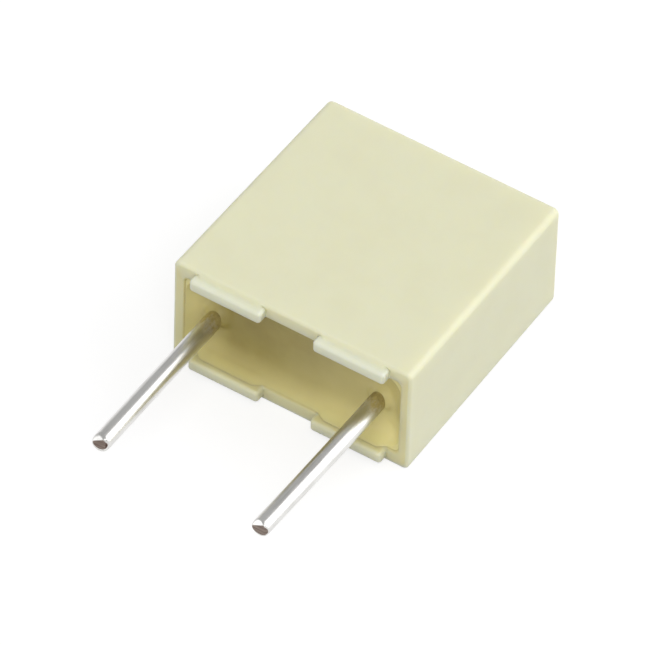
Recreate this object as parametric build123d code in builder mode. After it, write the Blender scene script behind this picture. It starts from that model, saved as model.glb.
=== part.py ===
"""Box film capacitor: a potted plastic case lying on its broad face, with two straight leads.

Millimetres. X runs from lead to lead, Y from the circuit board into the case, Z through the thickness.
The origin is the point of the board midway between the leads: the stand-off lips end on the plane Y = 0.
"""
import os
from math import cos, radians, sin

from build123d import *

# Moulded case, measured over its outside at the rim
case_width = 7.2
case_thickness = 3.5
case_height = 7.2
side_wall = 0.33
broad_wall = 0.46
end_wall = 0.5
draft_angle = 0.45
edge_radius = 0.13
end_radius = 0.16
cavity_radius = 0.25
floor_radius = 0.15
mouth_radius = 0.1

# Stand-off lips on the rim of each broad wall
lip_reach = 0.3
lip_gap = 1.6
lip_end_gap = 0.65
lip_set_in = 0.1
lip_corner_radius = 0.1
lip_edge_radius = 0.08
rim_land = 0.015

# Leads: round wire set in from the sides of the case, pressed into a thin wedge at the inner end for its weld,
# and cut off square at the free end with two bevels left by the cutter
lead_set_in = 1.1
lead_diameter = 0.5
lead_length_left = 4.65
lead_length_right = 4.82
lead_round_reach = 0.05
lead_flat_width = 0.65
lead_flat_thickness = 0.34
lead_flat_taper = 0.4
lead_flat_cover = 0.2
lead_stop = 1.1
cut_angle = 42.0
top_cut = 0.13
side_cut = 0.09

# Flattened film roll, with a sprayed metal contact on each end that the leads are welded to
roll_cover = 1.1
roll_floor_gap = 0.45
roll_wall_gap = 0.28
spray_thickness = 0.3
weld_depth = 0.05

# Potting resin: its level below the rim, and how far it climbs the walls and the leads
resin_depth = 0.45
wall_climb = 0.33
wall_land = 0.03
corner_climb_radius = 0.5
lead_climb = 0.12

# Levels above the board, and sizes that follow from the ones above
rim_level = lip_reach
end_level = rim_level + case_height
floor_level = end_level - end_wall
resin_level = rim_level + resin_depth
contact_level = resin_level - wall_climb
mouth_width = case_width - 2 * side_wall
mouth_thickness = case_thickness - 2 * broad_wall
rim_radius = lip_set_in - rim_land
lip_length = (case_width - lip_gap) / 2 - lip_end_gap
lip_middle = (lip_gap + lip_length) / 2
lip_face = case_thickness / 2 - lip_set_in
lip_root = rim_level + 2 * mouth_radius
lead_x = case_width / 2 - lead_set_in
lead_radius = lead_diameter / 2
roll_near = resin_level + roll_cover
roll_far = floor_level - roll_floor_gap
roll_middle = (roll_near + roll_far) / 2
roll_height = roll_far - roll_near
roll_thickness = mouth_thickness - 2 * roll_wall_gap
contact_x = lead_x - lead_flat_thickness / 2 + weld_depth
roll_length = 2 * (contact_x - spray_thickness)
lead_flat_level = roll_near - lead_flat_cover
lead_end = roll_far - lead_stop

os.makedirs("parts", exist_ok=True)


def across(level):
    """Plane across the leads at a height above the board, facing into the case."""
    return Plane(origin=(0, level, 0), x_dir=(1, 0, 0), z_dir=(0, 1, 0))


def finish(piece, name):
    """Label a finished piece and write it under its node name."""
    piece.part.label = name
    export_step(piece.part, f"parts/{name}.step")


# Core of the mould: the cavity from the lip ends to the inside of the closed end
with BuildPart() as core:
    with BuildSketch(across(0)):
        RectangleRounded(mouth_width, mouth_thickness, cavity_radius)
    extrude(amount=floor_level, taper=draft_angle)
    fillet(core.faces().sort_by(Axis.Y)[-1].edges(), floor_radius)

# Stand-off lips: flush with the cavity on the inside, set in from the broad faces on the outside
with BuildPart() as lips:
    with BuildSketch(Plane.XY.offset(-lip_face)) as lip_plan:
        with Locations((-lip_middle, lip_root / 2), (lip_middle, lip_root / 2)):
            Rectangle(lip_length, lip_root)
        fillet(lip_plan.vertices().group_by(Axis.Y)[0], lip_corner_radius)
    extrude(amount=2 * lip_face)
    add(core.part, mode=Mode.SUBTRACT)
    lip_outlines = lips.faces().filter_by(Axis.Z, tolerance=1).edges()
    fillet(lip_outlines - lips.faces().group_by(Axis.Y)[-1].edges(), lip_edge_radius)

# Case: a drafted box, hollowed by the core and rounded at its closed end, its rim and its mouth
with BuildPart() as case:
    with BuildSketch(across(rim_level)):
        RectangleRounded(case_width, case_thickness, edge_radius)
    extrude(amount=case_height, taper=draft_angle)
    fillet(case.faces().sort_by(Axis.Y)[-1].edges(), end_radius)
    fillet(case.faces().sort_by(Axis.Y)[0].edges(), rim_radius)
    add(core.part, mode=Mode.SUBTRACT)
    fillet(case.faces().sort_by(Axis.Y)[0].inner_wires().edges(), mouth_radius)
    add(lips.part)
finish(case, "case")

# Film roll: wound flat, so its section is a slot with round ends
with BuildPart() as film_winding:
    with BuildSketch(Plane.YZ.offset(-roll_length / 2)):
        with Locations((roll_middle, 0)):
            SlotOverall(roll_height, roll_thickness)
    extrude(amount=roll_length)
finish(film_winding, "film_winding")

inner_pieces = [film_winding]
for name, side, length in (("left", -1, lead_length_left), ("right", 1, lead_length_right)):
    # Lead: straight and round from its cut end to the board, then pressed flatter until it lies beside the roll
    with BuildPart() as lead:
        with BuildSketch(across(-length)):
            with Locations((side * lead_x, 0)):
                Circle(lead_radius)
        extrude(amount=length + lead_round_reach)
        with BuildSketch(across(lead_round_reach)):
            with Locations((side * lead_x, 0)):
                Circle(lead_radius)
        with BuildSketch(across(lead_flat_level)):
            with Locations((side * lead_x, 0)):
                SlotOverall(lead_flat_width, lead_flat_thickness, rotation=90)
        loft()
        with BuildSketch(across(lead_flat_level)):
            with Locations((side * lead_x, 0)):
                SlotOverall(lead_flat_width, lead_flat_thickness, rotation=90)
        extrude(amount=lead_end - lead_flat_level, taper=lead_flat_taper)
        lean = radians(cut_angle)
        top_edge = (side * lead_x, -length, lead_radius - top_cut)
        split(bisect_by=Plane(top_edge, z_dir=(0, -cos(lean), sin(lean))), keep=Keep.BOTTOM)
        side_edge = (side * lead_x + lead_radius - side_cut, -length, 0)
        split(bisect_by=Plane(side_edge, z_dir=(sin(lean), -cos(lean), 0)), keep=Keep.BOTTOM)
    finish(lead, f"lead_{name}")

    # Sprayed contact: covers the end of the roll, with the lead sunk into its outer face
    with BuildPart() as spray:
        with BuildSketch(Plane.YZ.offset(side * roll_length / 2)):
            with Locations((roll_middle, 0)):
                SlotOverall(roll_height, roll_thickness)
        extrude(amount=side * spray_thickness)
        add(lead.part, mode=Mode.SUBTRACT)
    finish(spray, f"end_spray_{name}")
    inner_pieces += [lead, spray]

# Hollow that the resin leaves at the mouth, rounded where it climbs the walls
with BuildPart() as dish:
    with BuildSketch(across(contact_level)):
        dish_width = mouth_width - 2 * wall_land
        dish_thickness = mouth_thickness - 2 * wall_land
        RectangleRounded(dish_width, dish_thickness, corner_climb_radius)
    extrude(amount=wall_climb)
    fillet(dish.faces().sort_by(Axis.Y)[-1].edges(), wall_climb - wall_land)

# Resin: fills the cavity around the inner pieces, with a collar where it climbs each lead
with BuildPart() as resin_fill:
    add(core.part)
    split(bisect_by=across(contact_level), keep=Keep.TOP)
    add(dish.part, mode=Mode.SUBTRACT)
    for side in (-1, 1):
        skin_x = side * lead_x + lead_radius
        with BuildSketch(Plane.XY):
            with BuildLine():
                Polyline(
                    (skin_x + lead_climb, resin_level),
                    (skin_x + lead_climb, resin_level + lead_climb),
                    (side * lead_x, resin_level + lead_climb),
                    (side * lead_x, resin_level - lead_climb),
                    (skin_x, resin_level - lead_climb),
                )
                RadiusArc((skin_x, resin_level - lead_climb), (skin_x + lead_climb, resin_level), lead_climb)
            make_face()
        revolve(axis=Axis((side * lead_x, 0, 0), (0, 1, 0)))
    for piece in inner_pieces:
        add(piece.part, mode=Mode.SUBTRACT)
finish(resin_fill, "resin_fill")
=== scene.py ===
"""Looks of the box film capacitor: a potted plastic case lying on its broad face, with two straight leads.

Sizes are in millimetres, in the part's own frame: X runs from lead to lead, Y from the circuit board into
the case, and Z through the thickness. The stand-off lips of the case end on the plane Y = 0.
"""
from __future__ import annotations

import logging
import math
from dataclasses import dataclass, field
from enum import Enum
from typing import Any

import bpy
import numpy as np
from mathutils import Matrix, Vector


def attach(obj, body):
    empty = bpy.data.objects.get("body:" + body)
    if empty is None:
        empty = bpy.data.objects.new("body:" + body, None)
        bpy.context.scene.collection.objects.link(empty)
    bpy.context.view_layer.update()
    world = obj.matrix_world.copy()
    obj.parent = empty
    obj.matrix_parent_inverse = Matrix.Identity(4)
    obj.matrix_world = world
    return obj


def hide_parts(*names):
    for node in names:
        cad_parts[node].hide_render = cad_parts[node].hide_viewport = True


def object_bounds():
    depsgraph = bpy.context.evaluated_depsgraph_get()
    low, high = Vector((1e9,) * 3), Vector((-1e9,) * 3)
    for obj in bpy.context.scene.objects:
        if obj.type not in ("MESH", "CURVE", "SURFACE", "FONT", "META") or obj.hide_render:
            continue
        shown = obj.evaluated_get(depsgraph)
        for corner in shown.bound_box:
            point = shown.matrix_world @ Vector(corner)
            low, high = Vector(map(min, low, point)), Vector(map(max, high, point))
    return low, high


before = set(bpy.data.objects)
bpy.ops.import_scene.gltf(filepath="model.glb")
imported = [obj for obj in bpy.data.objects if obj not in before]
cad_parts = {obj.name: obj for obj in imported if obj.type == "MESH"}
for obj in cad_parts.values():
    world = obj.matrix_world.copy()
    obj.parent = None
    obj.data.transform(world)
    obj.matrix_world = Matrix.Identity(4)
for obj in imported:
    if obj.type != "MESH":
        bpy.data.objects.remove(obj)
CAD_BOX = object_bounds()

LOG = logging.getLogger("film_capacitor")
METRES_PER_MM = 0.001
BODY = "root"
IMAGE_SIDE = 645
TONE = "tone"
Colour = tuple[float, float, float, float]


class Side(Enum):
    """Which end of the X axis a piece belongs to."""

    LEFT = -1
    RIGHT = 1


class Slot(Enum):
    """Material slots, in the part's record, of the pieces that are made here."""

    CASE = "case_plastic"
    RESIN = "potting_resin"
    WIRE = "tinned_wire"


# Shader expressions


class Value:
    """A socket that carries a number, for use in arithmetic expressions."""

    def __init__(self, shader: Shader, socket: bpy.types.NodeSocket) -> None:
        """Wrap a socket of a shader's node."""
        self.shader = shader
        self.socket = socket

    def _math(self, operation: str, first: Any, second: Any) -> Value:
        """Add a Math node for one operation on two numbers or sockets."""
        return self.shader.node("ShaderNodeMath", {"operation": operation}, {0: first, 1: second})

    def __add__(self, other: Any) -> Value:
        """Sum."""
        return self._math("ADD", self, other)

    def __radd__(self, other: Any) -> Value:
        """Sum with a plain number first."""
        return self._math("ADD", other, self)

    def __sub__(self, other: Any) -> Value:
        """Difference."""
        return self._math("SUBTRACT", self, other)

    def __rsub__(self, other: Any) -> Value:
        """Difference with a plain number first."""
        return self._math("SUBTRACT", other, self)

    def __mul__(self, other: Any) -> Value:
        """Product."""
        return self._math("MULTIPLY", self, other)

    def ramp(self, low: float, high: float) -> Value:
        """Smooth step from 0 at low to 1 at high."""
        inputs = {"Value": self, "From Min": low, "From Max": high}
        return self.shader.node("ShaderNodeMapRange", {"interpolation_type": "SMOOTHSTEP"}, inputs)


class Shader:
    """Node tree of one material or world, built from expressions."""

    def __init__(self, owner: bpy.types.Material | bpy.types.World) -> None:
        """Clear the owner's node tree and keep both."""
        owner.use_nodes = True
        self.owner = owner
        self.tree = owner.node_tree
        self.tree.nodes.clear()

    def node(self, kind: str, settings: dict[str, Any] | None = None, inputs: dict[Any, Any] | None = None,
             output: int | str = 0) -> Value:
        """Add a node.

        Args:
            kind: the node's type.
            settings: the node's own properties, which are set first.
            inputs: values or links of its sockets, by name or number.
            output: the output socket to return.

        Returns:
            The output socket, wrapped.
        """
        made = self.tree.nodes.new(kind)
        for name, value in (settings or {}).items():
            setattr(made, name, value)
        for name, value in (inputs or {}).items():
            if isinstance(value, Value):
                self.tree.links.new(value.socket, made.inputs[name])
            else:
                made.inputs[name].default_value = value
        return Value(self, made.outputs[output])

    def position(self, scale: tuple[float, float, float]) -> Value:
        """Object coordinates in millimetres, times a scale for each axis."""
        place = self.node("ShaderNodeTexCoord", output="Object")
        factor = tuple(s / METRES_PER_MM for s in scale)
        return self.node("ShaderNodeVectorMath", {"operation": "MULTIPLY"}, {0: place, 1: factor})

    def noise(self, scale: tuple[float, float, float], detail: float = 3.0, roughness: float = 0.5) -> Value:
        """Noise from 0 to 1 with a number of waves to a millimetre along each axis."""
        inputs = {"Vector": self.position(scale), "Scale": 1.0, "Detail": detail, "Roughness": roughness}
        return self.node("ShaderNodeTexNoise", None, inputs)

    def mix(self, factor: Value, first: Any, second: Any) -> Value:
        """Mix of two colours: the first at factor 0, the second at 1."""
        inputs = {"Factor": factor, 6: first, 7: second}
        return self.node("ShaderNodeMix", {"data_type": "RGBA"}, inputs, output=2)

    def bump(self, height: Value, depth: float) -> Value:
        """Normal of a surface raised by height times a depth in millimetres."""
        inputs = {"Height": height, "Strength": 1.0, "Distance": depth * METRES_PER_MM}
        return self.node("ShaderNodeBump", None, inputs)

    def finish(self, inputs: dict[str, Any]) -> bpy.types.Material:
        """End a material's tree with a Principled shader, and return the material."""
        self.end(self.node("ShaderNodeBsdfPrincipled", None, inputs))
        return self.owner

    def end(self, surface: Value, kind: str = "ShaderNodeOutputMaterial") -> None:
        """Link a surface shader to an output node of a kind."""
        made = self.tree.nodes.new(kind)
        self.tree.links.new(surface.socket, made.inputs["Surface"])

    def tone(self) -> Value:
        """Tone that a piece keeps at each of its points."""
        return self.node("ShaderNodeAttribute", {"attribute_name": TONE}, output="Fac")


@dataclass(frozen=True)
class MouldedPlastic:
    """Pale cream thermoplastic with a mould's fine grain; painted shade makes it yellower inside, where
    light comes through it and bounces.

    The tone is 0 on the thin lips, 0.2 on the plain walls and 1 inside: the paler lips are painted light,
    and the yellower rim and inside are painted shade. Light spreads in the plastic over light_reach, in
    millimetres, times a share each for red, green and blue.
    """

    light: Colour = (0.776, 0.791, 0.622, 1.0)
    deep: Colour = (0.760, 0.771, 0.600, 1.0)
    inside: Colour = (0.765, 0.670, 0.290, 1.0)
    roughness: float = 0.50
    uneven_gloss: float = 0.12
    grain_depth: float = 0.0012
    light_reach: float = 0.5
    light_shares: tuple[float, float, float] = (1.0, 0.90, 0.60)

    def material(self, name: str) -> bpy.types.Material:
        """Material with a soft mottle, a grain in the gloss and a fine bump."""
        shader = Shader(bpy.data.materials.new(name))
        mottle = shader.noise((0.9, 0.9, 0.9), 4.0)
        grain = shader.noise((22.0, 22.0, 22.0), 2.0)
        outside = shader.mix(mottle.ramp(0.35, 0.7), self.light, self.deep)
        # The tone mixes in the inside colour, a painted shade on the rim and inside
        return shader.finish({
            "Base Color": shader.mix(shader.tone(), outside, self.inside),
            "Roughness": self.roughness + (grain - 0.5) * self.uneven_gloss,
            "Subsurface Weight": 0.75,
            "Subsurface Radius": self.light_shares,
            "Subsurface Scale": self.light_reach * METRES_PER_MM,
            "Specular IOR Level": 0.30,
            "Normal": shader.bump(grain, self.grain_depth),
        })


@dataclass(frozen=True)
class CuredResin:
    """Yellowish casting resin with a soft gloss, paler where it thins out on the walls and where painted
    light falls.

    The tone is 0 where the resin is deep and 1 where it is thin; it also carries painted light and shade.
    Light spreads in it as in the plastic.
    """

    light: Colour = (0.348, 0.280, 0.076, 1.0)
    deep: Colour = (0.308, 0.243, 0.065, 1.0)
    # Pale colour of thin resin, also of painted light through the walls
    thin: Colour = (0.88, 0.79, 0.36, 1.0)
    roughness: float = 0.36
    uneven_gloss: float = 0.2
    ripple_depth: float = 0.004
    light_reach: float = 0.2
    light_shares: tuple[float, float, float] = (1.0, 0.8, 0.3)

    def material(self, name: str) -> bpy.types.Material:
        """Material with cloudy colour, an uneven gloss and a slow ripple."""
        shader = Shader(bpy.data.materials.new(name))
        cloud = shader.noise((1.3, 1.3, 1.3), 4.0)
        ripple = shader.noise((2.6, 2.6, 2.6), 2.0)
        body = shader.mix(cloud.ramp(0.35, 0.7), self.light, self.deep)
        # The tone mixes in the pale colour: thin resin and painted light
        return shader.finish({
            "Base Color": shader.mix(shader.tone(), body, self.thin),
            "Roughness": self.roughness + (ripple - 0.5) * self.uneven_gloss,
            "Subsurface Weight": 0.25,
            "Subsurface Radius": self.light_shares,
            "Subsurface Scale": self.light_reach * METRES_PER_MM,
            "Specular IOR Level": 0.35,
            "Normal": shader.bump(ripple, self.ripple_depth),
        })


@dataclass(frozen=True)
class TinnedWire:
    """Bright tinned wire with drawing marks, brown bare metal where it was cut, and a film of resin.

    The tone is 0 on the tinned skin, 0.6 on the cut end and 1 on the flank bevel beside it, which is painted
    dark as shade; the upper bevel keeps the tin's tone 0, a painted highlight. The film is mottled; it
    covers the wire inside the mouth and breaks up over the levels of film_edge, in millimetres. It is a film
    of resin, and its dark mottle is also painted shade where the wire enters the mouth.
    """

    skin: Colour = (0.77, 0.765, 0.745, 1.0)
    worn: Colour = (0.60, 0.59, 0.57, 1.0)
    core: Colour = (0.26, 0.21, 0.18, 1.0)
    core_dark: Colour = (0.16, 0.12, 0.10, 1.0)
    # Dark colour of the flank bevel, a painted shade
    facet_shade: Colour = (0.08, 0.05, 0.042, 1.0)
    film: Colour = (0.56, 0.48, 0.22, 1.0)
    film_dark: Colour = (0.36, 0.29, 0.13, 1.0)
    film_edge: tuple[float, float] = (-0.2, 0.4)
    film_breakup: float = 1.1
    mark_depth: float = 0.00012

    def material(self, name: str) -> bpy.types.Material:
        """Metal whose drawing marks run along Y and whose shear marks run along X."""
        shader = Shader(bpy.data.materials.new(name))
        tone = shader.tone()
        bare = tone.ramp(0.15, 0.45)
        streak = shader.noise((24.0, 0.5, 24.0), 3.0, 0.6)
        blot = shader.noise((2.2, 1.1, 2.2), 3.0)
        shear = shader.noise((2.0, 2.0, 30.0), 2.0)
        skin = shader.mix((streak * 0.5 + blot * 0.5).ramp(0.45, 0.68), self.skin, self.worn)
        core = shader.mix(shear.ramp(0.35, 0.65), self.core, self.core_dark)
        # Painted shade: the flank bevel takes the dark colour
        end = shader.mix(tone.ramp(0.65, 0.95), core, self.facet_shade)
        place = shader.position((1.0, 1.0, 1.0))
        along = shader.node("ShaderNodeSeparateXYZ", None, {0: place}, output="Y")
        speckle = shader.noise((7.0, 4.0, 7.0), 3.0, 0.6)
        coated = (along + (speckle - 0.5) * self.film_breakup).ramp(*self.film_edge)
        # The film's dark mottle is also painted shade where the wire enters the mouth
        mottle = shader.noise((5.0, 3.0, 5.0), 5.0, 0.65)
        film = shader.mix(mottle.ramp(0.35, 0.7), self.film, self.film_dark)
        return shader.finish({
            "Base Color": shader.mix(coated, shader.mix(bare, skin, end), film),
            "Metallic": 1 - coated * 0.4,
            "Roughness": 0.26 + streak * 0.06 + bare * 0.12 + coated * 0.14,
            "Normal": shader.bump((1 - bare) * streak + bare * shear, self.mark_depth),
        })


@dataclass(frozen=True)
class WoundFilm:
    """Metallised film, wound flat, with the edges of its turns showing as fine lines."""

    film: Colour = (0.66, 0.68, 0.70, 1.0)
    shade: Colour = (0.50, 0.52, 0.55, 1.0)

    def material(self, name: str) -> bpy.types.Material:
        """Silvery plastic with fine lines across X."""
        shader = Shader(bpy.data.materials.new(name))
        lines = shader.noise((14.0, 0.35, 0.35), 2.0)
        wrinkle = shader.noise((0.8, 1.8, 1.8), 3.0)
        return shader.finish({
            "Base Color": shader.mix(lines.ramp(0.35, 0.65), self.film, self.shade),
            "Metallic": 0.7,
            "Roughness": 0.28 + wrinkle * 0.12,
            "Normal": shader.bump(lines * 0.4 + wrinkle, 0.008),
        })


@dataclass(frozen=True)
class SprayedZinc:
    """Rough sprayed metal, matt grey."""

    grain: Colour = (0.58, 0.585, 0.59, 1.0)
    pore: Colour = (0.36, 0.365, 0.37, 1.0)

    def material(self, name: str) -> bpy.types.Material:
        """Grainy metal with dark pores."""
        shader = Shader(bpy.data.materials.new(name))
        spatter = shader.noise((11.0, 11.0, 11.0), 4.0, 0.65)
        return shader.finish({
            "Base Color": shader.mix(spatter.ramp(0.4, 0.62), self.pore, self.grain),
            "Metallic": 0.85,
            "Roughness": 0.75 - spatter * 0.25,
            "Normal": shader.bump(spatter, 0.03),
        })


# Surfaces


def placed(name: str, data: bpy.types.ID) -> bpy.types.Object:
    """Make an object from a mesh, a lamp or a camera, and link it to the scene."""
    made = bpy.data.objects.new(name, data)
    bpy.context.scene.collection.objects.link(made)
    return made


class Surface:
    """Grids of points, in millimetres, that are welded into one mesh."""

    WELD_MM = 2e-5
    SHARP_DEGREES = 38.0

    def __init__(self) -> None:
        """Start with no points."""
        self._points: list[np.ndarray] = []
        self._quads: list[np.ndarray] = []
        self._tones: list[np.ndarray] = []

    def add(self, grid: np.ndarray, closed: bool = False, flip: bool = False,
            tone: np.ndarray | float = 0.0) -> None:
        """Add one grid of faces.

        Args:
            grid: rows by columns by 3 coordinates.
            closed: whether the last column joins the first.
            flip: whether the faces turn round.
            tone: value from 0 to 1 at each point, for the finish to use.
        """
        rows, columns = grid.shape[:2]
        first = sum(len(p) for p in self._points)
        index = first + np.arange(rows * columns).reshape(rows, columns)
        if closed:
            index = np.concatenate([index, index[:, :1]], axis=1)
        corners = [index[:-1, :-1], index[:-1, 1:], index[1:, 1:], index[1:, :-1]]
        quads = np.stack(corners, axis=-1).reshape(-1, 4)
        self._points.append(grid.reshape(-1, 3))
        self._quads.append(quads[:, ::-1] if flip else quads)
        self._tones.append(np.broadcast_to(tone, (rows, columns)).reshape(-1))

    def welded(self) -> tuple[np.ndarray, np.ndarray, np.ndarray, np.ndarray]:
        """Merge equal points, and turn quads with a repeated corner into triangles.

        Returns:
            Points, quads, triangles and the tone at each point.
        """
        points = np.concatenate(self._points)
        keys = np.round(points / self.WELD_MM).astype(np.int64)
        _, kept, place = np.unique(keys, axis=0, return_index=True, return_inverse=True)
        quads = place.reshape(-1)[np.concatenate(self._quads)]
        same = quads == np.roll(quads, -1, axis=1)
        whole = (same.sum(axis=1) == 0) & (quads[:, 0] != quads[:, 2]) & (quads[:, 1] != quads[:, 3])
        once = same.sum(axis=1) == 1
        spare = np.argmax(same[once], axis=1)
        corners = (spare[:, None] + np.array([1, 2, 3])) % 4
        triangles = np.take_along_axis(quads[once], corners, axis=1)
        return points[kept], quads[whole], triangles, np.concatenate(self._tones)[kept]

    def piece(self, name: str, material: bpy.types.Material, replaced: str) -> bpy.types.Object:
        """Make the mesh object that stands for a CAD node.

        Args:
            name: the piece's name.
            material: its finish.
            replaced: the CAD node that it stands for.

        Returns:
            The object, riding on the part's body.
        """
        points, quads, triangles, tones = self.welded()
        mesh = bpy.data.meshes.new(name)
        mesh.from_pydata((points * METRES_PER_MM).tolist(), [], quads.tolist() + triangles.tolist())
        mesh.polygons.foreach_set("use_smooth", np.ones(len(mesh.polygons), dtype=bool))
        mesh.set_sharp_from_angle(angle=math.radians(self.SHARP_DEGREES))
        kept = mesh.attributes.new(TONE, "FLOAT", "POINT")
        kept.data.foreach_set("value", tones.astype(np.float32))
        mesh.materials.append(material)
        mesh.update()
        made = placed(name, mesh)
        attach(made, BODY)
        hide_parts(replaced)
        LOG.info("%s: %d faces", name, len(mesh.polygons))
        return made


def points_at(x: np.ndarray, y: np.ndarray, z: np.ndarray) -> np.ndarray:
    """Points from their coordinates, which broadcast against each other."""
    return np.stack(np.broadcast_arrays(x, y, z), axis=-1)


def arc(count: int) -> np.ndarray:
    """Angles of a quarter turn, from 0 to 90 degrees."""
    return np.linspace(0.0, np.pi / 2, count)


def ease(value: np.ndarray) -> np.ndarray:
    """Smooth step from 0 to 1 over the range 0 to 1."""
    held = np.clip(value, 0.0, 1.0)
    return held * held * (3 - 2 * held)


def nearness(distance: np.ndarray, reach: np.ndarray | float) -> np.ndarray:
    """Nearness: 1 at distance 0, falling evenly to 0 at the reach."""
    return np.clip(1 - distance / reach, 0.0, 1.0)


def both_halves(values: np.ndarray, sign: int = 1) -> np.ndarray:
    """Values of one half turn, then the same values times a sign for the other half."""
    return np.concatenate([values, sign * values])


@dataclass(frozen=True)
class PlanColumns:
    """Columns of a grid that runs once round a rounded rectangle.

    A column stands at X = fixed + side_x * (half width - corner) + normal_x * corner and at
    Z = side_z * (half thickness - corner) + normal_z * corner. Where lip is 1, the column also belongs to a
    stand-off lip, whose outline passes (lip_x, lip_rise) with the outward normal (lip_nx, lip_nrise).
    """

    fixed: np.ndarray
    side_x: np.ndarray
    side_z: np.ndarray
    normal_x: np.ndarray
    normal_z: np.ndarray
    lip: np.ndarray
    lip_x: np.ndarray
    lip_rise: np.ndarray
    lip_nx: np.ndarray
    lip_nrise: np.ndarray

    def loop(self, half_x: np.ndarray, half_z: np.ndarray,
             corner: np.ndarray) -> tuple[np.ndarray, np.ndarray]:
        """X and Z of every column, for rounded rectangles whose sizes broadcast against the columns."""
        x = self.fixed + self.side_x * (half_x - corner) + self.normal_x * corner
        z = self.side_z * (half_z - corner) + self.normal_z * corner
        return x, z

    def rings(self, level: np.ndarray, sizes: tuple[np.ndarray, np.ndarray, np.ndarray],
              inset: np.ndarray, shrink: np.ndarray) -> np.ndarray:
        """Rings of points, one to a level.

        Args:
            level: the levels.
            sizes: half width, half thickness and corner radius of the rounded rectangle at each level.
            inset: how far inside its rectangle each ring lies.
            shrink: factor on X and Z of each ring.

        Returns:
            Points, levels by columns by 3.
        """
        half_x, half_z, corner = (s[:, None] - inset[:, None] for s in sizes)
        x, z = self.loop(half_x, half_z, corner)
        return points_at(x * shrink[:, None], level[:, None], z * shrink[:, None])


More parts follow.
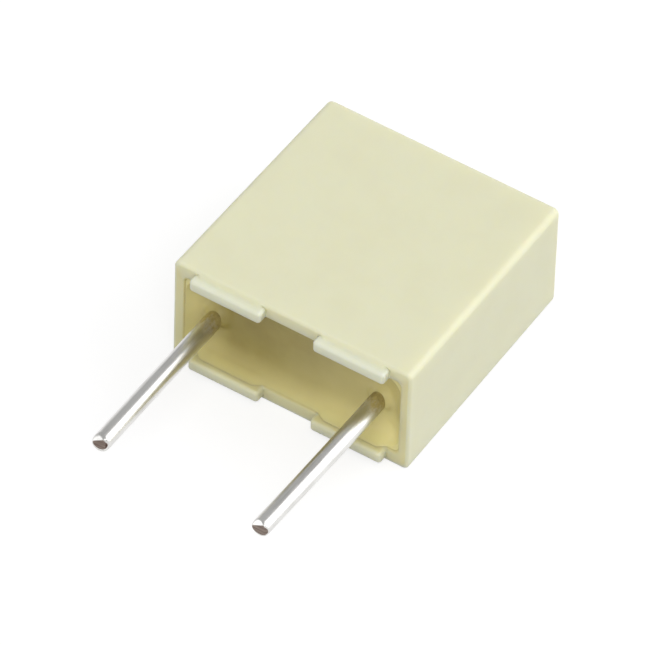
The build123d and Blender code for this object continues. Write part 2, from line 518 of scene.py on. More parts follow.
@dataclass
class MouldedCase:
    """Drafted box with rounded edges, open at its lower end, with four stand-off lips on its rim."""

    width: float = 7.2
    thickness: float = 3.5
    height: float = 7.2
    side_wall: float = 0.33
    broad_wall: float = 0.46
    end_wall: float = 0.5
    draft: float = math.tan(math.radians(0.45))
    edge_radius: float = 0.17
    end_edge_radius: float = 0.18
    end_radius: float = 0.16
    cavity_radius: float = 0.17
    floor_radius: float = 0.15
    mouth_radius: float = 0.1
    rim_radius: float = 0.085
    lip_reach: float = 0.3
    lip_inner: float = 0.8
    lip_outer: float = 2.95
    lip_set_in: float = 0.1
    lip_corner: float = 0.1
    lip_edge: float = 0.08
    lip_land: float = 0.02
    foot_spread: float = 0.3
    valley: float = 0.185
    straight_reach: float = 3.0
    shading_gap: float = 0.03
    # Tones of painted light and shade: lips paler, rim and lower lips yellower
    plain_tone: float = 0.2
    rim_tone: float = 0.3
    lower_lip_tone: float = 0.25
    finish: MouldedPlastic = field(default_factory=MouldedPlastic)

    @property
    def rim(self) -> float:
        """Level of the rim above the board."""
        return self.lip_reach

    @property
    def end(self) -> float:
        """Level of the closed end."""
        return self.rim + self.height

    @property
    def lip_hold(self) -> float:
        """How far inside a lip's outline its flat face starts."""
        return self.lip_edge + self.lip_land

    def cavity(self, level: np.ndarray) -> tuple[np.ndarray, np.ndarray, np.ndarray]:
        """Half width, half thickness and corner radius of the drafted cavity at a level."""
        lean = level * self.draft
        half_x = self.width / 2 - self.side_wall - lean
        half_z = self.thickness / 2 - self.broad_wall - lean
        return half_x, half_z, self.cavity_radius - lean

    def outside(self, level: np.ndarray) -> tuple[np.ndarray, np.ndarray, np.ndarray]:
        """Half width, half thickness and corner radius of the drafted outside at a level."""
        lean = (level - self.rim) * self.draft
        share = np.clip((level - self.rim) / (self.height - self.end_radius), 0.0, 1.0)
        corner = self.edge_radius + (self.end_edge_radius - self.edge_radius) * share
        return self.width / 2 - lean, self.thickness / 2 - lean, corner

    def _lip_outline(self, start: float, stop: float) -> np.ndarray:
        """Outline of one lip, from the foot of its left end over its tip to the foot of its right end.

        The left half climbs straight up, turns a quarter circle and runs along the tip to the middle; the
        right half mirrors it. The columns' feet are spread along the rim, so that none lie on each other.

        Returns:
            Rows of foot X, X, rise, normal X and normal rise.
        """
        r, top, spread = self.lip_corner, self.lip_reach, self.foot_spread
        middle = (start + stop) / 2
        climb = np.linspace(0.0, top - r, 6)
        turn = arc(9)[1:]
        along = np.linspace(0.0, 1.0, 7)[1:]
        flank, tip = np.ones_like(climb), np.ones_like(along)
        x = np.r_[start * flank, start + r - r * np.cos(turn), start + r + (middle - start - r) * along]
        rise = np.r_[climb, top - r + r * np.sin(turn), top * tip]
        normal_x = np.r_[-flank, -np.cos(turn), 0 * tip]
        normal_rise = np.r_[0 * flank, np.sin(turn), tip]
        first = start + self.lip_hold
        foot = np.r_[first + spread * np.linspace(0.0, 1.0, len(climb) + len(turn)),
                     first + spread + (middle - first - spread) * along]
        half = np.stack([foot, x, rise, normal_x, normal_rise], axis=1)
        mirrored = half[-2::-1] * np.array([-1, -1, 1, -1, 1]) + np.array([2 * middle, 2 * middle, 0, 0, 0])
        return np.concatenate([half, mirrored])

    def _lip_columns(self, start: float, stop: float) -> np.ndarray:
        """Columns of one lip: the rows of its outline, with a 1 added to each."""
        outline = self._lip_outline(start, stop)
        return np.concatenate([outline, np.ones((len(outline), 1))], axis=1)

    @staticmethod
    def _bare_columns(x: np.ndarray) -> np.ndarray:
        """Columns of bare rim: rows as for a lip, but with no rise, and with a 0 added to each."""
        none = np.zeros_like(x)
        return np.stack([x, x, none, none, np.ones_like(x), none], axis=1)

    def columns(self) -> PlanColumns:
        """Columns once round the case: top edge with two lips, right end, and both again half a turn on."""
        plain = np.array([-self.straight_reach, -self.lip_outer - self.lip_land])
        gap = self.lip_inner - self.lip_land
        top = np.concatenate([
            self._bare_columns(plain),
            self._lip_columns(-self.lip_outer, -self.lip_inner),
            self._bare_columns(np.linspace(-gap, gap, 9)),
            self._lip_columns(self.lip_inner, self.lip_outer),
            self._bare_columns(-plain[::-1]),
        ])
        foot, lip_x, rise, lip_nx, lip_nrise, lip = top.T
        here = np.ones(len(top))
        # Right end: out to the corner, round it, down the side, round the lower corner and back in
        out = np.array([0.33, 0.67, 1.0])
        back = out[1::-1]
        turn = np.linspace(90.0, 0.0, 13)[1:] * np.pi / 180
        side = np.ones_like(turn)
        down = np.linspace(1.0, -1.0, len(turn) + 1)[1:]
        turn_x = np.r_[np.cos(turn), side, np.cos(turn[::-1])[1:], 0.0]
        turn_z = np.r_[np.sin(turn), 0 * side, -np.sin(turn[::-1])[1:], -1.0]
        fixed = np.r_[foot, self.straight_reach * (1 - out), 0 * turn_x, self.straight_reach * (1 - back)]
        side_x = np.r_[0 * here, out, np.ones_like(turn_x), back]
        side_z = np.r_[here, np.ones_like(out), side, down, -side, -np.ones_like(back)]
        normal_x = np.r_[0 * here, 0 * out, turn_x, 0 * back]
        normal_z = np.r_[here, np.ones_like(out), turn_z, -np.ones_like(back)]
        rest = np.zeros(len(fixed) - len(top))
        return PlanColumns(
            fixed=both_halves(fixed, -1),
            side_x=both_halves(side_x, -1),
            side_z=both_halves(side_z, -1),
            normal_x=both_halves(normal_x, -1),
            normal_z=both_halves(normal_z, -1),
            lip=both_halves(np.r_[lip, rest]),
            lip_x=both_halves(np.r_[lip_x, rest], -1),
            lip_rise=both_halves(np.r_[rise, rest]),
            lip_nx=both_halves(np.r_[lip_nx, rest], -1),
            lip_nrise=both_halves(np.r_[lip_nrise, rest]),
        )

    def _step(self, level: np.ndarray) -> np.ndarray:
        """Depth below the broad face, at a level, of the soft step from it to a lip."""
        return self.lip_set_in * ease((self.rim + self.rim_radius - level) / self.valley)

    def _rounding_rings(self, columns: PlanColumns) -> np.ndarray:
        """Rings round the outer edge of the rim: a quarter circle, or the soft step where there is a lip."""
        turn = arc(8)
        level = self.rim + self.rim_radius * (1 - np.sin(turn))
        inset = self.rim_radius * (1 - np.cos(turn))
        sizes = self.outside(np.full_like(turn, self.rim + self.rim_radius))
        rings = columns.rings(level, sizes, inset, np.ones_like(turn))
        stepped = columns.normal_z * (sizes[1] - self._step(level))[:, None]
        rings[..., 2] = np.where(columns.lip > 0, stepped, rings[..., 2])
        return rings

    def _rim_rings(self, columns: PlanColumns) -> tuple[np.ndarray, np.ndarray]:
        """Rings over the rim and the lips into the mouth.

        A ring lies a share of the way across the wall. On a bare column it follows the rim, and drops round
        the mouth. On a lip's column it follows the lip's outline, set in along the outline's normal where
        the lip's edges are rounded; the first five rings climb the soft step from the lip's foot.

        Returns:
            Points, and the tone at each: 0 on the lips, 1 inside the mouth.
        """
        wall, edge, mouth, hold = self.broad_wall, self.lip_edge, self.mouth_radius, self.lip_hold
        turn = arc(7)
        outer = edge * (1 - np.sin(turn))
        climb = np.linspace(0.1, 0.5, 5)
        drop_at = self.rim - climb * (self.lip_reach - hold)
        # Rings on a lip: the soft step, its face, its outer edge, its tip, its inner edge and the mouth
        lip_share = np.r_[self._step(drop_at) / wall, self.lip_set_in / wall,
                          (self.lip_set_in + edge * (1 - np.cos(turn))) / wall, 0.63,
                          1 - edge * (1 - np.cos(turn[::-1])) / wall, 1.0, 1.0]
        inset = np.r_[np.full(6, hold), outer, 0.0, outer[::-1], hold, 0.0]
        # The same rings on the bare rim: spread over its flat, then round the mouth
        bare_share = np.r_[np.linspace(0.28, 0.33, 5), 0.35, np.linspace(0.37, 0.48, 7), 0.58,
                           1 - mouth * (1 - np.cos(turn[::-1])) / wall, 1.0, 1.0]
        drop = np.r_[np.zeros(14), mouth * (1 - np.sin(turn[::-1])), mouth + 0.02, mouth + 0.05]
        blend = np.r_[climb, np.ones(len(drop) - len(climb))]
        raised = np.r_[np.ones(len(drop) - 1), 0.0]
        on_lip = columns.lip[None, :] * raised[:, None] > 0
        share = np.where(on_lip, lip_share[:, None], bare_share[:, None])
        rise = (columns.lip_rise - columns.lip_nrise * inset[:, None]) * blend[:, None]
        level = self.rim + np.where(on_lip, -rise, drop[:, None])
        x_out, z_out = columns.loop(*self.outside(np.full_like(level, self.rim)))
        x_in, z_in = columns.loop(*self.cavity(level))
        x = x_out + (x_in - x_out) * share
        z = z_out + (z_in - z_out) * share
        lip_x = columns.lip_x - columns.lip_nx * inset[:, None]
        x = np.where(on_lip, columns.fixed + (lip_x - columns.fixed) * blend[:, None], x)
        # Painted shade: the bare rim is yellower away from the upper wall, and so are the lower lips
        rim_shade = self.rim_tone * (2 - np.maximum(columns.normal_z, 0.0))
        bare_tone = rim_shade + (1 - rim_shade) * ease((share - 0.8) / 0.2)
        shade = np.where(columns.normal_z < 0, self.lower_lip_tone, 0.0)
        # Painted light on the thin lips, which keep tone 0; painted shade rises over the inner edge into the
        # mouth
        over_lip = np.r_[np.linspace(self.plain_tone, 0.0, 6), np.zeros(8),
                         np.linspace(0.0, 0.4, 7), 0.5, 1.0]
        lip_tone = shade + (1 - shade) * over_lip[:, None]
        tone = np.where(on_lip, lip_tone, bare_tone)
        return points_at(x, level, z), tone

    def grid(self) -> tuple[np.ndarray, np.ndarray]:
        """All rings of the case, from the middle of its closed end over its rim to the middle of its floor.

        Returns:
            Points, and the tone at each.
        """
        columns = self.columns()
        turn, gap = arc(8), self.shading_gap
        # Closed end and its rounding, then the outer wall down to the rim's rounding
        top = self.end - self.end_radius
        cap_share = np.array([0.0, 0.35, 0.7, 0.93])
        level = np.r_[np.full(4, self.end), top + self.end_radius * np.sin(turn[::-1]), top - gap,
                      np.linspace(top - 0.6, self.rim + 0.8, 8), self.rim + self.rim_radius + gap]
        inset = np.r_[np.full(4, self.end_radius), self.end_radius * (1 - np.cos(turn[::-1])), np.zeros(10)]
        shrink = np.r_[cap_share, np.ones(len(level) - len(cap_share))]
        outer = columns.rings(level, self.outside(np.minimum(level, top)), inset, shrink)
        rounding = self._rounding_rings(columns)
        rim, rim_tone = self._rim_rings(columns)
        # Cavity wall and floor
        floor = self.end - self.end_wall
        deep = floor - self.floor_radius
        level = np.r_[0.6, 1.5, 3.5, 5.5, deep - gap,
                      deep + self.floor_radius * np.sin(turn), np.full(3, floor)]
        inset = np.r_[np.zeros(5), self.floor_radius * (1 - np.cos(turn)), np.full(3, self.floor_radius)]
        shrink = np.r_[np.ones(13), 0.6, 0.3, 0.0]
        inner = columns.rings(level, self.cavity(np.minimum(level, deep)), inset, shrink)
        # Painted shade rising over the rim's rounding, and tone 1 inside
        to_rim = np.linspace(0.0, self.rim_tone - self.plain_tone, len(turn))[:, None]
        edge_tone = self.plain_tone + to_rim * (1 - columns.lip)
        outer_tone = np.full(outer.shape[:2], self.plain_tone)
        tone = np.concatenate([outer_tone, edge_tone, rim_tone, np.ones(inner.shape[:2])])
        return np.concatenate([outer, rounding, rim, inner]), tone

    def build(self) -> bpy.types.Object:
        """Make the case's piece."""
        surface = Surface()
        points, tone = self.grid()
        surface.add(points, closed=True, tone=tone)
        return surface.piece("case_shell", self.finish.material("cream_plastic"), "case")


@dataclass
class WireLead:
    """Straight round wire with a cut free end, pressed flat inside the case.

    The cut end has a square part and two bevels. Its bare core reaches core_reach from the axis in X and Z,
    its rim is a rounded burr, and the whole end may slant.
    """

    side: Side
    length: float
    lean: float
    pitch: float = 5.0
    radius: float = 0.25
    round_reach: float = 0.05
    flat_level: float = 1.65
    flat_half_thickness: float = 0.17
    flat_half_width: float = 0.325
    flat_taper: float = math.tan(math.radians(0.4))
    inner_end: float = 5.45
    bevel_slope: float = math.tan(math.radians(42.0))
    top_cut: float = 0.13
    cut_turn: float = math.radians(29.0)
    side_cut: float = 0.09
    cut_softness: float = 0.005
    cut_tone: float = 0.6
    # Tone of the flank bevel; at 1 it is painted dark, as shade
    facet_shade_tone: float = 0.6
    core_reach: tuple[float, float] = (0.235, 0.2)
    core_rise: float = 0.025
    burr: float = 0.022
    slant: float = 0.0

    @property
    def middle(self) -> float:
        """X of the lead's axis at the board."""
        return self.side.value * self.pitch / 2

    def section(self, angle: np.ndarray, level: np.ndarray,
                scale: float = 1.0) -> tuple[np.ndarray, np.ndarray]:
        """X and Z from the axis: a circle up to the board, going over to a slot with round ends."""
        share = np.clip((level - self.round_reach) / (self.flat_level - self.round_reach), 0.0, 1.0)
        end = self.flat_half_thickness - self.flat_taper * np.maximum(level - self.flat_level, 0.0)
        reach = self.flat_half_width - self.flat_half_thickness
        flat_x = end * np.cos(angle)
        flat_z = end * np.sin(angle) + reach * np.clip(2 * np.sin(angle), -1, 1)
        x = self.radius * np.cos(angle) * (1 - share) + flat_x * share
        z = self.radius * np.sin(angle) * (1 - share) + flat_z * share
        return x * scale, z * scale

    def bend(self, level: np.ndarray) -> np.ndarray:
        """Sideways set of the wire: it leans from the board towards its free end."""
        return self.lean * np.clip(-level / self.length, 0.0, 1.0) ** 1.3

    def tip(self, x: np.ndarray, z: np.ndarray) -> tuple[np.ndarray, np.ndarray]:
        """Cut end: the square end or either bevel, whichever is higher, softened where they meet.

        The soft maximum is the logarithm of the sum of exponentials. The slant tilts the end along X and Z.

        Returns:
            Level and tone: the square end is bare, the upper bevel keeps the tin's tone as a painted
                highlight, and the one on the flank takes a dark painted shade.
        """
        soft = self.cut_softness
        up = z * math.cos(self.cut_turn) - x * math.sin(self.cut_turn)
        top = self.bevel_slope * (up - self.radius + self.top_cut)
        flank = self.bevel_slope * (x - self.radius + self.side_cut)
        weights = np.exp(np.stack([np.zeros_like(x), top, flank]) / soft)
        total = weights.sum(axis=0)
        from_core = np.hypot(x / self.core_reach[0], (z - self.core_rise) / self.core_reach[1])
        inside = ease((1.1 - from_core) / 0.15)
        # Painted highlight on the upper bevel, which keeps tone 0, and painted shade on the flank bevel
        tone = inside * (self.cut_tone * weights[0] + self.facet_shade_tone * weights[2]) / total
        oblique = self.slant * (x + z) * math.sqrt(0.5)
        return soft * np.log(total) + oblique - self.length, tone

    def grid(self) -> tuple[np.ndarray, np.ndarray]:
        """Rings from the inner end along the wire, round the burr and over the cut end to its middle.

        Returns:
            Points and the tone at each.
        """
        angle = np.linspace(0.0, 2 * np.pi, 96, endpoint=False)[None, :]
        # Inner end and the pressed part, which goes over to the round wire
        level = np.r_[self.inner_end, self.inner_end, np.linspace(self.inner_end - 0.05, self.flat_level, 5),
                      np.linspace(self.flat_level - 0.1, self.round_reach, 12)][:, None]
        x, z = self.section(angle, level)
        x[0], z[0] = 0.0, 0.0
        head = points_at(x, level, z)
        # Round wire down to the cut
        skin_x, skin_z = self.section(angle, np.zeros((1, 1)))
        last = self.tip(skin_x, skin_z)[0] + self.burr + 0.02
        way = np.linspace(0.0, 1.0, 40)[1:, None]
        run = points_at(skin_x, self.round_reach + (last - self.round_reach) * way, skin_z)
        # Rounded burr, then the cut face
        turn = arc(8)[:, None]
        shrink = np.concatenate([1 - self.burr * (1 - np.cos(turn)) / self.radius,
                                 np.linspace(1 - self.burr / self.radius, 0.0, 24)[1:, None]])
        raised = np.concatenate([self.burr * (1 - np.sin(turn)), np.zeros((23, 1))])
        x, z = skin_x * shrink, skin_z * shrink
        level, tone = self.tip(x, z)
        face = points_at(x, level + raised, z)
        points = np.concatenate([head, run, face])
        points[..., 0] += self.middle + self.bend(points[..., 1])
        # The burr keeps its tin
        bare = np.concatenate([np.zeros(head.shape[:2]), np.zeros(run.shape[:2]), tone * (raised < 0.002)])
        return points, bare

    def build(self, material: bpy.types.Material) -> bpy.types.Object:
        """Make the lead's piece in the wire's finish."""
        points, bare = self.grid()
        surface = Surface()
        surface.add(points, closed=True, flip=True, tone=bare)
        name = self.side.name.lower()
        return surface.piece(f"lead_wire_{name}", material, f"lead_{name}")


@dataclass(frozen=True)
class ResinTone:
    """Painted light and shade in the tone of the resin's free surface, which is paler where light comes
    through the walls.

    The side walls and the broad walls each add a paleness, painted light, that falls with a power of the
    distance from them. The right wall adds less above the lead, a painted shade. A thin film beside the
    broad walls is paler still, as thin resin, and the middle gets paler downwards and to the right, painted
    light. What each of these leaves dark is multiplied.
    """

    left_reach: float = 1.2
    right_reach: float = 1.6
    side_tone: float = 0.95
    side_power: float = 1.3
    upper_right_shade: float = 0.55
    face_reach: float = 0.6
    face_power: float = 1.5
    face_tone_left: float = 0.4
    face_tone_gain: float = 0.2
    film_reach: float = 0.12
    film_tone: float = 0.3
    across_tone: float = 0.09
    lower_tone: float = 0.08
    lower_right_tone: float = 0.06
    right_tone: float = 0.33

    def at(self, x: np.ndarray, z: np.ndarray, from_side: np.ndarray, from_face: np.ndarray,
           wetting: np.ndarray) -> np.ndarray:
        """Tone at points of the surface.

        Args:
            x: the points' X.
            z: the points' Z.
            from_side: distance from the nearer side wall.
            from_face: distance from the nearer broad wall.
            wetting: share of the film on the wall there.

        Returns:
            Tone from 0, where the resin is deep, to 1.
        """
        # Painted light through the side walls, with painted shade above the right lead
        sides = nearness(from_side, np.where(x < 0, self.left_reach, self.right_reach)) ** self.side_power
        sides *= self.side_tone - np.where(x < 0, 0.0, self.upper_right_shade) * ease((z + 0.6) / 0.9)
        # Painted light through the broad walls, then the paler film of thin resin
        faces = nearness(from_face, self.face_reach) ** self.face_power
        faces *= self.face_tone_left + self.face_tone_gain * ease((x + 2.0) / 2.5)
        faces += self.film_tone * wetting * nearness(from_face, self.film_reach)
        # Painted light: paler downwards and to the right
        across, lower = ease((x + 1.3) / 1.3), ease((0.4 - z) / 1.2)
        middle = self.across_tone * across + self.lower_tone * lower + self.lower_right_tone * across * lower
        middle += self.right_tone * ease((x + 0.3) / 2.4)
        return 1 - (1 - sides) * (1 - faces) * (1 - middle)


@dataclass
class PottingResin:
    """Resin that fills the case around the film roll, dished where it climbs the walls and the leads."""

    case: MouldedCase
    leads: tuple[WireLead, WireLead]
    level: float = 0.75
    wall_climb: float = 0.35
    wall_reach: float = 1.1
    film_climb: float = 0.2
    film_reach: float = 0.25
    film_share: float = 0.2
    lip_fade: float = 0.3
    corner_round: float = 0.5
    lead_climb: float = 0.20
    lead_reach: float = 0.26
    wave: float = 0.006
    channel_scale: float = 0.93
    channel_level: float = 0.66
    roll_near: float = 1.85
    roll_far: float = 6.55
    roll_half_thickness: float = 1.01
    roll_half_length: float = 2.38
    overlap: float = 0.004
    side_tone: float = 0.8
    tone: ResinTone = field(default_factory=ResinTone)
    finish: CuredResin = field(default_factory=CuredResin)

    def depth(self, x: np.ndarray, z: np.ndarray) -> np.ndarray:
        """Distance in from the cavity's wall, taken as a rectangle with well rounded corners."""
        half_x, half_z, _ = self.case.cavity(np.float64(self.level))
        reach_x = np.abs(x) - half_x + self.corner_round
        reach_z = np.abs(z) - half_z + self.corner_round
        outside = np.hypot(np.maximum(reach_x, 0), np.maximum(reach_z, 0))
        return self.corner_round - outside - np.minimum(np.maximum(reach_x, reach_z), 0)

    def wetting(self, x: np.ndarray) -> np.ndarray:
        """Share of the film on the wall at an X: 1 along the lips, and film_share elsewhere."""
        past_inner = ease((np.abs(x) - self.case.lip_inner) / self.lip_fade)
        short_of_outer = ease((self.case.lip_outer - np.abs(x)) / self.lip_fade)
        return self.film_share + (1 - self.film_share) * past_inner * short_of_outer

    def height(self, x: np.ndarray, z: np.ndarray) -> np.ndarray:
        """Level of the free surface: slightly wavy, less a climb that grows with nearness to wall or lead.

        Near a wall the climb grows with the fourth power of nearness, and near a lead with its square. A
        film wets the wall further up, most of all along the lips; it grows with the third power.
        """
        depth = self.depth(x, z)
        climb = self.wall_climb * nearness(depth, self.wall_reach) ** 4
        climb += self.film_climb * self.wetting(x) * nearness(depth, self.film_reach) ** 3
        from_lead = np.hypot(np.abs(x) - self.leads[1].middle, z) - self.leads[1].radius
        climb += self.lead_climb * nearness(from_lead, self.lead_reach) ** 2
        return self.level - climb + self.wave * np.sin(1.7 * x + 0.6) * np.cos(2.3 * z + 1.1)

    def paleness(self, x: np.ndarray, z: np.ndarray) -> np.ndarray:
        """Tone of the free surface at points given by X and Z, with painted light and shade."""
        half_x, half_z, _ = self.case.cavity(np.float64(self.level))
        return self.tone.at(x, z, half_x - np.abs(x), half_z - np.abs(z), self.wetting(x))

    def _contact(self) -> tuple[np.ndarray, np.ndarray]:
        """Unit columns of the right half of the cavity wall, from above the middle round to below it.

        Returns:
            Side coefficients and corner normals, each of shape columns by 2, as in PlanColumns.
        """
        turn = np.linspace(90.0, 0.0, 12) * np.pi / 180
        run = np.sin(np.linspace(0.0, np.pi / 2, 40))[:-1]
        down = np.sin(np.linspace(np.pi / 2, -np.pi / 2, 26))[1:-1]
        along, corner, side = np.ones_like(run), np.ones_like(turn), np.ones_like(down)
        side_x = np.r_[run, corner, side, corner, run[::-1]]
        side_z = np.r_[along, corner, down, -corner, -along]
        normal_x = np.r_[0 * along, np.cos(turn), side, np.cos(turn[::-1]), 0 * along]
        normal_z = np.r_[along, np.sin(turn), 0 * side, -np.sin(turn[::-1]), -along]
        return np.stack([side_x, side_z], axis=1), np.stack([normal_x, normal_z], axis=1)

    def _wall(self, level: np.ndarray, inset: np.ndarray) -> np.ndarray:
        """Points of the right half of the wall, with one level to each row, sunk a little into the case."""
        side, normal = self._contact()
        half_x, half_z, corner = (s - inset + self.overlap for s in self.case.cavity(level))
        x = side[:, 0] * (half_x - corner) + normal[:, 0] * corner
        z = side[:, 1] * (half_z - corner) + normal[:, 1] * corner
        return points_at(x, level, z)

    def right_half(self) -> tuple[np.ndarray, np.ndarray, np.ndarray]:
        """Grids of the right half, whose free surface runs along straight lines from the lead's skin.

        Returns:
            Free surface, up to the wall or the middle plane; side and floor; channel that the lead fills.
        """
        lead = self.leads[1]
        contact = self.level - self.wall_climb
        first = self._wall(np.array([[contact]]), np.array([[0.0]]))[0]
        first[:, 1] = self.height(first[:, 0], first[:, 2])
        spine = np.linspace(first[-1, 2], first[0, 2], 42)[1:-1]
        middle = points_at(0 * spine, self.height(0 * spine, spine), spine)
        rim = np.concatenate([first, middle])
        angle = np.arctan2(rim[:, 2], rim[:, 0] - lead.middle)
        x, z = lead.section(angle, np.full_like(angle, self.channel_level), self.channel_scale)
        x = x + lead.middle
        share = (0.5 - 0.5 * np.cos(np.linspace(0.0, np.pi, 46)))[:, None]
        top_x = x + (rim[:, 0] - x) * share
        top_z = z + (rim[:, 2] - z) * share
        top = points_at(top_x, self.height(top_x, top_z), top_z)
        # Sides and floor
        floor = self.case.end - self.case.end_wall
        round_off = self.case.floor_radius
        turn = arc(6)
        level = np.r_[0.9, 2.0, 3.5, 5.0, floor - round_off + round_off * np.sin(turn)]
        inset = np.r_[np.zeros(4), round_off * (1 - np.cos(turn))]
        walls = self._wall(np.minimum(level, floor)[:, None], inset[:, None])
        bottom = walls[-1] * np.array([1.0, 1.0, 0.0])
        sides = np.concatenate([first[None], walls, bottom[None]])
        # Channel of the lead
        level = np.r_[1.2, 1.65, 3.0, 4.2, lead.inner_end]
        x, z = lead.section(angle[None, :], level[:, None], self.channel_scale)
        shaft = points_at(x + lead.middle, level[:, None], z)
        stop = np.broadcast_to(np.array([lead.middle, lead.inner_end, 0.0]), shaft[:1].shape)
        channel = np.concatenate([top[:1], shaft, stop])
        return top, sides, channel

    def hollow(self) -> np.ndarray:
        """Grid of the space for the film roll: a slot with round ends, carried along X and closed."""
        r = self.roll_half_thickness
        angle = np.linspace(0.0, 2 * np.pi, 64, endpoint=False)
        centre = (self.roll_near + self.roll_far) / 2
        straight = (self.roll_far - self.roll_near) / 2 - r
        y = centre + r * np.cos(angle) + straight * np.sign(np.cos(angle)) * (np.abs(np.cos(angle)) > 1e-9)
        z = r * np.sin(angle)
        x = self.roll_half_length * np.array([-1.0, -1.0, 1.0, 1.0])
        share = np.array([0.0, 1.0, 1.0, 0.0])[:, None]
        return points_at(x[:, None], centre + (y - centre) * share, z * share)

    def build(self) -> bpy.types.Object:
        """Make the resin's piece from its right half, the mirrored left half and the hollow."""
        surface = Surface()
        top, sides, channel = self.right_half()
        for sign in (np.ones(3), np.array([-1.0, 1.0, 1.0])):
            flip = sign[0] < 0
            pale = self.paleness(top[..., 0] * sign[0], top[..., 2])
            surface.add(top * sign, closed=True, flip=flip, tone=pale)
            surface.add(sides * sign, flip=not flip, tone=self.side_tone)
            surface.add(channel * sign, closed=True, flip=not flip)
        surface.add(self.hollow(), closed=True)
        return surface.piece("resin_pour", self.finish.material("yellow_resin"), "resin_fill")


@dataclass
class FilmElement:
    """The wound roll and its two sprayed contacts, which keep their CAD shapes."""

    film: WoundFilm = field(default_factory=WoundFilm)
    spray: SprayedZinc = field(default_factory=SprayedZinc)

    def dress(self) -> None:
        """Give the roll and the contacts their finishes."""
        film, spray = self.film.material("silver_film"), self.spray.material("sprayed_grey")
        dressed = {"film_winding": film, "end_spray_left": spray, "end_spray_right": spray}
        for name, material in dressed.items():
            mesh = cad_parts[name].data
            mesh.materials.clear()
            mesh.materials.append(material)
            LOG.info("%s: dressed", name)


# Studio


@dataclass(frozen=True)
class Softbox:
    """Square area lamp that faces the part, in metres and watts."""

    name: str
    direction: tuple[float, float, float]
    distance: float
    side: float
    power: float

    def build(self, target: Vector) -> None:
        """Hang the lamp and turn it to the target."""
        lamp = bpy.data.lights.new(self.name, "AREA")
        lamp.shape, lamp.size, lamp.energy = "SQUARE", self.side, self.power
        made = placed(self.name, lamp)
        made.location = target + Vector(self.direction).normalized() * self.distance
        made.rotation_euler = Vector(self.direction).to_track_quat("Z", "Y").to_euler()


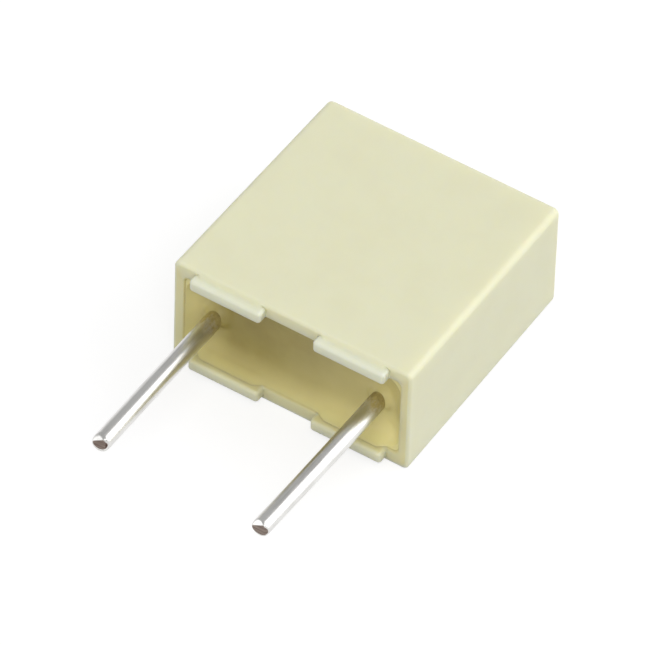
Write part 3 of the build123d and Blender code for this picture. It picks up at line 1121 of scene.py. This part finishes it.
@dataclass
class Studio:
    """White floor, soft lamps, plain surroundings and the camera.

    The camera's distance and target are in millimetres, and the floor and the lamps are in metres.
    """

    azimuth: float = 31.69
    elevation: float = 46.83
    roll: float = 1.95
    distance: float = 250.0
    pixels_per_mm: float = 38.734
    target: tuple[float, float, float] = (-0.942, 3.3, -1.595)
    sensor: float = 36.0
    floor_side: float = 6.0
    floor_colour: Colour = (0.32, 0.32, 0.32, 1.0)
    floor_glow: float = 0.74
    horizon: Colour = (0.90, 0.90, 0.90, 1.0)
    sky_front: Colour = (0.46, 0.46, 0.46, 1.0)
    sky_behind: Colour = (0.50, 0.50, 0.50, 1.0)
    lamp_target: tuple[float, float, float] = (0.0, 0.002, 0.0)
    softboxes: tuple[Softbox, ...] = (
        Softbox("key_softbox", (0.70, 0.52, 0.48), 0.45, 0.50, 1.36),
        Softbox("top_softbox", (0.25, -0.55, 0.80), 0.45, 0.30, 0.58),
        Softbox("front_softbox", (0.45, -0.75, 0.48), 0.45, 0.30, 0.24),
        Softbox("left_softbox", (-0.80, -0.55, 0.22), 0.45, 0.20, 0.14),
    )

    def camera(self) -> None:
        """Place the camera: it looks along a direction given by two angles, and is rolled about it."""
        turn, tilt, roll = (math.radians(v) for v in (self.azimuth, self.elevation, self.roll))
        level_reach = math.cos(tilt)
        back = Vector((math.sin(turn) * level_reach, -math.cos(turn) * level_reach, math.sin(tilt)))
        level_right = (-back).cross(Vector((0, 0, 1))).normalized()
        level_up = level_right.cross(-back)
        right = level_right * math.cos(roll) + level_up * math.sin(roll)
        up = level_up * math.cos(roll) - level_right * math.sin(roll)
        place = (Vector(self.target) + back * self.distance) * METRES_PER_MM
        data = bpy.data.cameras.new("camera")
        data.sensor_width = self.sensor
        data.lens = self.pixels_per_mm * self.distance * self.sensor / IMAGE_SIDE
        data.clip_start, data.clip_end = 0.01, 20.0
        made = placed("camera", data)
        made.matrix_world = Matrix((
            (right.x, up.x, back.x, place.x), (right.y, up.y, back.y, place.y),
            (right.z, up.z, back.z, place.z), (0, 0, 0, 1),
        ))
        bpy.context.scene.camera = made

    def floor(self) -> None:
        """Lay a white floor under the part, which keeps its shadow and looks white to camera and metal."""
        level, half = CAD_BOX[0].z, self.floor_side / 2
        mesh = bpy.data.meshes.new("floor")
        corners = [(-half, -half, level), (half, -half, level), (half, half, level), (-half, half, level)]
        mesh.from_pydata(corners, [], [(0, 1, 2, 3)])
        material = bpy.data.materials.new("white_floor")
        shader = Shader(material)
        diffuse = shader.node("ShaderNodeBsdfDiffuse", None, {"Color": self.floor_colour})
        camera, glossy, through = (
            shader.node("ShaderNodeLightPath", output=ray)
            for ray in ("Is Camera Ray", "Is Glossy Ray", "Is Transmission Ray")
        )
        plain_white = {"Color": (1.0, 1.0, 1.0, 1.0), "Strength": self.floor_glow}
        glow = shader.node("ShaderNodeEmission", None, plain_white)
        white = shader.node("ShaderNodeAddShader", None, {0: diffuse, 1: glow})
        parts = {0: camera + glossy + through, 1: diffuse, 2: white}
        shader.end(shader.node("ShaderNodeMixShader", None, parts))
        mesh.materials.append(material)
        placed("floor", mesh)

    def surroundings(self) -> None:
        """Plain grey surroundings, paler towards the horizon and behind the part."""
        world = bpy.data.worlds.new("surroundings")
        shader = Shader(world)
        place = shader.node("ShaderNodeTexCoord", output="Generated")
        height = shader.node("ShaderNodeSeparateXYZ", None, {0: place}, output="Z")
        along = shader.node("ShaderNodeSeparateXYZ", None, {0: place}, output="Y")
        upper = shader.mix(along.ramp(-0.5, 0.3), self.sky_front, self.sky_behind)
        colour = shader.mix(height.ramp(0.0, 0.35), self.horizon, upper)
        light = shader.node("ShaderNodeBackground", None, {"Color": colour, "Strength": 1.0})
        shader.end(light, "ShaderNodeOutputWorld")
        bpy.context.scene.world = world

    def build(self) -> None:
        """Set up the whole studio."""
        bpy.context.scene.view_settings.view_transform = "Standard"
        self.floor()
        self.surroundings()
        for softbox in self.softboxes:
            softbox.build(Vector(self.lamp_target))
        self.camera()


def main() -> None:
    """Build the pieces in order, then the studio."""
    logging.basicConfig(level=logging.INFO, format="%(name)s %(message)s")
    case = MouldedCase()
    case.build()
    # The left lead's flank bevel takes the darkest tone, a painted shade
    leads = (
        WireLead(Side.LEFT, 4.69, 0.0, facet_shade_tone=1.0, core_reach=(0.195, 0.17), burr=0.06, slant=0.15),
        WireLead(Side.RIGHT, 4.82, -0.08, burr=0.04),
    )
    wire = TinnedWire().material("bright_wire")
    for lead in leads:
        lead.build(wire)
    PottingResin(case, leads).build()
    FilmElement().dress()
    Studio().build()


if __name__ == "__main__":
    main()
